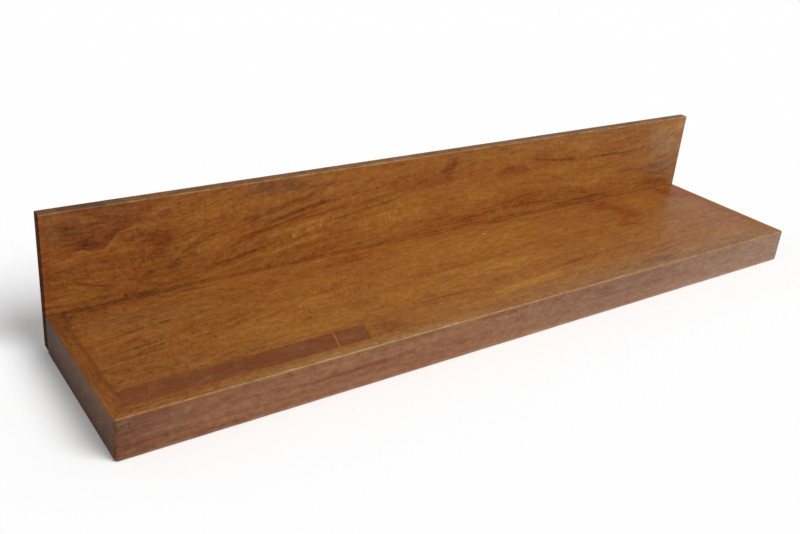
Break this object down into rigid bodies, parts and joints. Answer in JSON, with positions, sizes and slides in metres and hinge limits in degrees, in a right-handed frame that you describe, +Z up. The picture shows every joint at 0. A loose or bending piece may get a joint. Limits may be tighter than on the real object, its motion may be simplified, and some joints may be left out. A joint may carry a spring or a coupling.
{
  "type": "wall shelf",
  "caption": "Long wall shelf: a thick closed box shelf with a let-in dark strip, in front of a higher back board that hangs on keyhole plates.",
  "frame": {"origin": "centre of the middle keyhole plate's round entry hole, on the wall plane (the back face of the back board)", "axes": "+X along the shelf, to the right seen from the front; +Y towards the wall; +Z up"},
  "size_m": [1.22, 0.27, 0.197],
  "materials": {
    "edge_wood": "oiled hardwood, red brown, satin",
    "top_wood": "oiled hardwood, golden brown, satin",
    "back_wood": "oiled hardwood, figured, orange brown, satin",
    "under_wood": "oiled hardwood, plain",
    "inner_wood": "planed softwood, raw",
    "dowel_wood": "raw beech",
    "dark_wood": "oiled hardwood, dark red brown, satin",
    "pale_wood": "oiled sapwood, pale",
    "zinc_steel": "zinc plated steel"
  },
  "bodies": {
    "root": {"front_board": "edge_wood", "left_end_board": "edge_wood", "right_end_board": "edge_wood", "top_panel": "top_wood", "bottom_panel": "under_wood", "front_rail": "inner_wood", "rear_rail": "inner_wood", "rib_far_left": "inner_wood", "rib_left": "inner_wood", "rib_right": "inner_wood", "rib_far_right": "inner_wood", "left_mitre_spline": "dowel_wood", "right_mitre_spline": "dowel_wood", "loose_tenons": "dowel_wood", "strip_block_1": "dark_wood", "strip_block_2": "dark_wood", "strip_block_3": "dark_wood", "strip_block_4": "dark_wood", "strip_block_5": "dark_wood", "strip_slip": "pale_wood", "back_board": "back_wood", "back_board_screws": "zinc_steel", "keyhole_plate_left": "zinc_steel", "keyhole_plate_middle": "zinc_steel", "keyhole_plate_right": "zinc_steel", "keyhole_plate_screws": "zinc_steel"}
  },
  "joints": []
}
